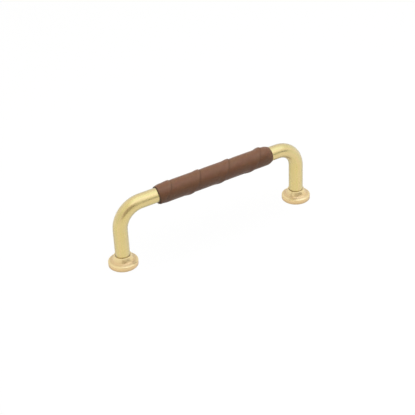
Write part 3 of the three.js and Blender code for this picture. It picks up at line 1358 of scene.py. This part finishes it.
@dataclass(frozen=True)
class Card:
    """A curved card that stands on one side of the object, which only reflections show.

    It runs between two turns from straight in front, and positive turns are to the object's right.
    """

    name: str
    distance: float
    turns: tuple[float, float]
    heights: tuple[float, float]
    tone: Colour
    steps: int = 24

    def stand(self) -> bpy.types.Object:
        """Stands the card on the stage, hidden from all but glossy rays.

        Returns:
            The card's object.
        """
        points: list[tuple[float, float, float]] = []
        for turn in np.radians(np.linspace(*self.turns, self.steps + 1)):
            x, y = self.distance * math.sin(turn), -self.distance * math.cos(turn)
            points += [(x, y, height) for height in self.heights]
        mesh = bpy.data.meshes.new(self.name)
        mesh.from_pydata(points, [], [(2 * i, 2 * i + 2, 2 * i + 3, 2 * i + 1) for i in range(self.steps)])
        material = bpy.data.materials.new(self.name)
        tree = bare_tree(material)
        send_out(tree, add_node(tree, "ShaderNodeEmission", {"Color": (*self.tone, 1.0)}))
        mesh.materials.append(material)
        card = put_on_stage(mesh)
        card.visible_camera = card.visible_diffuse = card.visible_shadow = card.visible_transmission = False
        return card


def put_on_stage(mesh: bpy.types.Mesh) -> bpy.types.Object:
    """Adds a mesh to the scene as part of the studio.

    Args:
        mesh: the mesh.

    Returns:
        Its object.
    """
    prop = add_object(mesh.name, mesh)
    return prop


LAMPS = (Lamp("soft_box", energy=1.8, size=1.3, place=(0.24, -0.29, 0.93), mirrored=True,
              colour=(0.76, 0.99, 1.8)),
         Lamp("top_fill", energy=10.0, size=1.2, place=(0.04, -0.05, 0.99), mirrored=False,
              colour=(1.05, 1.0, 0.84)))
CARDS = (Card("camera_side", distance=0.8, turns=(-46, 4), heights=(0.09, 0.66), tone=(0.42, 0.37, 0.30)),
         Card("table_edge", distance=0.45, turns=(4, 50), heights=(0.025, 0.125), tone=(0.16, 0.12, 0.09)),
         Card("left_wall", distance=1.0, turns=(-170, -46), heights=(0.02, 0.75), tone=(0.88, 0.88, 0.88)))


@dataclass(frozen=True)
class Studio:
    """A white floor under a white sky, the lamps, the cards and the camera."""

    lamps: tuple[Lamp, ...] = LAMPS
    cards: tuple[Card, ...] = CARDS
    sky_level: float = 0.15
    floor_white: float = 0.9
    floor_glow: float = 1.065
    floor_tone: float = 0.47
    floor_reach: float = 3.0
    camera_turn: float = math.radians(-31.049)
    camera_lift: float = math.radians(32.1)
    camera_roll: float = math.radians(-2.821)
    camera_distance: float = 0.69949
    camera_target: tuple[float, float, float] = (-0.003268, 0.0, 0.017409)
    focal_length: float = 98.48
    sensor_width: float = 36.0
    clip_start: float = 0.01

    def plainly_seen(self, tree: Tree) -> Term:
        """Picks out the rays for which a backdrop is plain white.

        Args:
            tree: the backdrop's tree.

        Returns:
            1 for the kinds of ray that Ray names, and 0 for the others.
        """
        path = add_node(tree, "ShaderNodeLightPath")
        most, *others = (Term(tree, path.outputs[ray.value]) for ray in Ray)
        for other in others:
            most = most.maths("MAXIMUM", other)
        return most

    def light_the_sky(self) -> None:
        """Makes a world that is white to look at and lights the object at a plain level."""
        world = bpy.data.worlds.new("white_sky")
        tree = bare_tree(world)
        strength = self.plainly_seen(tree) * (1 - self.sky_level) + self.sky_level
        sky = add_node(tree, "ShaderNodeBackground", {"Color": WHITE, "Strength": strength})
        send_out(tree, sky, "ShaderNodeOutputWorld")
        bpy.context.scene.world = world

    def lay_floor(self) -> bpy.types.Object:
        """Lays a white floor that shows little more than its own white, and a faint shadow.

        Returns:
            The floor's object.
        """
        material = bpy.data.materials.new("white_floor")
        tree = bare_tree(material)
        tone = self.floor_tone
        matt = add_node(tree, "ShaderNodeBsdfDiffuse", {"Color": (tone, tone, tone, 1.0)})
        white = add_node(tree, "ShaderNodeEmission", {"Color": WHITE, "Strength": self.floor_glow})
        mixed = tree.nodes.new("ShaderNodeMixShader")
        share = self.plainly_seen(tree) * self.floor_white
        for socket, value in zip(mixed.inputs, (share, matt.outputs[0], white.outputs[0])):
            feed(tree, socket, value)
        send_out(tree, mixed)
        reach = self.floor_reach
        mesh = bpy.data.meshes.new("floor")
        corners = [(-reach, -reach, 0), (reach, -reach, 0), (reach, reach, 0), (-reach, reach, 0)]
        mesh.from_pydata(corners, [], [(0, 1, 2, 3)])
        mesh.materials.append(material)
        return put_on_stage(mesh)

    def set_camera(self) -> None:
        """Places the camera at the photograph's angle, distance and field of view."""
        turn, lift, roll = self.camera_turn, self.camera_lift, self.camera_roll
        back = Vector((math.sin(turn) * math.cos(lift), -math.cos(turn) * math.cos(lift), math.sin(lift)))
        level = Vector((0, 0, 1)).cross(back).normalized()
        upright = back.cross(level)
        right = level * math.cos(roll) + upright * math.sin(roll)
        up = upright * math.cos(roll) - level * math.sin(roll)
        eye = Vector(self.camera_target) + back * self.camera_distance
        lens = bpy.data.cameras.new("camera")
        lens.lens = self.focal_length
        lens.sensor_width = self.sensor_width
        lens.clip_start = self.clip_start
        camera = add_object("camera", lens)
        axes = Matrix((right, up, back)).transposed().to_4x4()
        camera.matrix_world = Matrix.Translation(eye) @ axes
        bpy.context.scene.camera = camera

    def set_up(self) -> None:
        """Sets up everything round the object."""
        bpy.context.scene.view_settings.view_transform = "Standard"
        self.light_the_sky()
        self.lay_floor()
        for card in self.cards:
            card.stand()
        for lamp in self.lamps:
            lamp.hang()
        self.set_camera()


# Each brass finish's grime_and_shade_tone is tarnish and painted shade at the joints, and painted shade at
# the feet's base edges and slopes.
ROD_FINISH = BrassFinish(name="drawn_brass", working=Working.DRAWN, tone=(0.704, 0.594, 0.197),
                         warm_tone=(0.820, 0.589, 0.251), pale_tone=(0.772, 0.623, 0.274),
                         grime_and_shade_tone=(0.46, 0.34, 0.12), edge_tint=(0.74, 0.75, 0.72),
                         haze=0.9, haze_tone=(1.0, 0.98, 0.98), roughness=0.30, anisotropy=0.35,
                         line_width=0.07 * MM, line_length=14 * MM, streak_width=1.2 * MM,
                         patch_size=5 * MM)
FOOT_FINISH = BrassFinish(name="turned_brass", working=Working.TURNED, tone=(0.834, 0.606, 0.285),
                          warm_tone=(0.834, 0.529, 0.270), pale_tone=(0.906, 0.738, 0.376),
                          grime_and_shade_tone=(0.36, 0.28, 0.17), edge_tint=(0.78, 0.74, 0.68),
                          haze=0.5, haze_tone=(1.0, 0.96, 0.9), roughness=0.38, anisotropy=0.25,
                          line_width=0.06 * MM, line_length=12 * MM, streak_width=0.9 * MM,
                          patch_size=2.2 * MM)
WRAP_FINISH = LeatherFinish(name="brown_leather", dye=(0.222, 0.099, 0.039), red_dye=(0.210, 0.073, 0.030),
                            deep_dye=(0.100, 0.044, 0.018), stretched=(0.240, 0.118, 0.056),
                            cut_edge=(0.090, 0.047, 0.023), roughness=0.40)

# How much of the grip is bare between each bend and the leather
BARE_LEFT = 10.8 * MM
BARE_RIGHT = 6.3 * MM


def main() -> None:
    """Builds the studio and the pull."""
    logging.basicConfig(level=logging.INFO, format="%(name)s %(message)s")
    Studio().set_up()
    rod = BowRod()
    rod.build(ROD_FINISH)
    for side in Side:
        TurnedFoot(side, axis_x=side.value * rod.leg_x).build(FOOT_FINISH)
    wrap = LeatherWrap(axis_height=rod.grip_height, left_end=-rod.bend_x + BARE_LEFT,
                       right_end=rod.bend_x - BARE_RIGHT)
    wrap.build(WRAP_FINISH)


if __name__ == "__main__":
    main()
